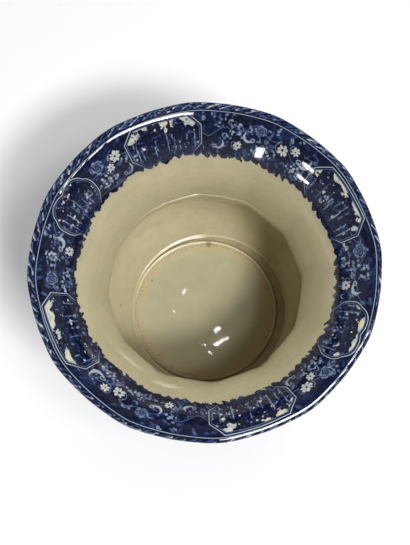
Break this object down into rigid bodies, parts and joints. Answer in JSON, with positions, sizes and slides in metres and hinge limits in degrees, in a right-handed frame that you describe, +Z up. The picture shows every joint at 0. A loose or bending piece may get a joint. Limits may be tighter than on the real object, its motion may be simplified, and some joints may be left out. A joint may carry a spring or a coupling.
{
  "type": "two-handled vase",
  "caption": "Squat glazed earthenware vase with a wide panelled trumpet mouth, a round foot ring and a loop handle on each side, printed in blue.",
  "frame": {"origin": "middle of the foot ring's resting face", "axes": "+Z up out of the mouth, handles on +X and -X, a panel's middle on each axis"},
  "size_m": [0.2892, 0.2892, 0.189],
  "materials": {
    "printed_glaze": "glossy cream glaze over a dark blue transfer print",
    "cream_glaze": "glossy aged cream glaze, faintly crazed and stained",
    "handle_glaze": "glossy cream glaze with brushed blue"
  },
  "bodies": {
    "root": {"flared_mouth": "printed_glaze", "belly_wall": "printed_glaze", "floor_disc": "cream_glaze", "foot_ring": "printed_glaze", "right_handle": "handle_glaze", "left_handle": "handle_glaze"}
  },
  "joints": []
}
